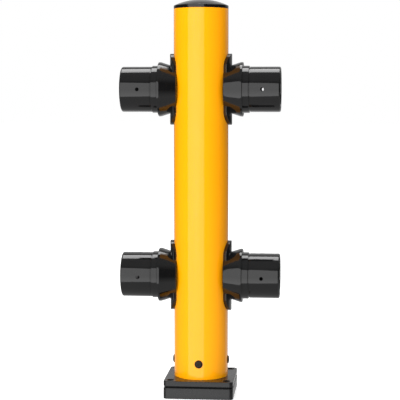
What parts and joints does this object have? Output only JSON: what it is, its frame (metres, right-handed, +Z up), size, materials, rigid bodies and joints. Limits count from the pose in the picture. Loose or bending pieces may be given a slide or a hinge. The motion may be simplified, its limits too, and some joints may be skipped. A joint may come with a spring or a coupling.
{
  "type": "safety barrier post",
  "caption": "Round safety-barrier centre post on a bolted square foot, with a domed cap and rail couplers on both sides at two heights.",
  "frame": {"origin": "on the floor, at the centre of the square foot's underside", "axes": "+Z up along the post, +X along the rails, +Y to the back"},
  "size_m": [0.468, 0.204, 1.162],
  "materials": {
    "yellow_plastic": "glossy, through-coloured",
    "black_plastic": "glossy moulded",
    "coated_steel": "satin black powder coat",
    "black_rubber": "dull",
    "zinc_steel": "zinc plated",
    "black_screw_steel": "black coated"
  },
  "bodies": {
    "post": {"base_flange": "coated_steel", "clamp_plates": "zinc_steel", "core_weld": "zinc_steel", "coupler_lower_left": "black_plastic", "coupler_lower_right": "black_plastic", "coupler_upper_left": "black_plastic", "coupler_upper_right": "black_plastic", "damping_mat": "black_rubber", "floor_plate": "coated_steel", "foot_core": "zinc_steel", "foot_screws": "black_screw_steel", "post_tube": "yellow_plastic", "rod_nuts": "zinc_steel", "rod_spacer_lower": "zinc_steel", "rod_spacer_upper": "zinc_steel", "rod_washers": "zinc_steel", "spigot_lower_left": "black_plastic", "spigot_lower_right": "black_plastic", "spigot_upper_left": "black_plastic", "spigot_upper_right": "black_plastic", "thread_bosses": "zinc_steel", "tie_rod_lower": "zinc_steel", "tie_rod_upper": "zinc_steel"},
    "cap": {"cap": "black_plastic", "cap_seal": "black_rubber"}
  },
  "joints": [
    {"name": "cap_lift", "type": "slide", "parent": "post", "child": "cap", "axis": [0, 0, 1], "range_m": [0, 0.06]}
  ]
}
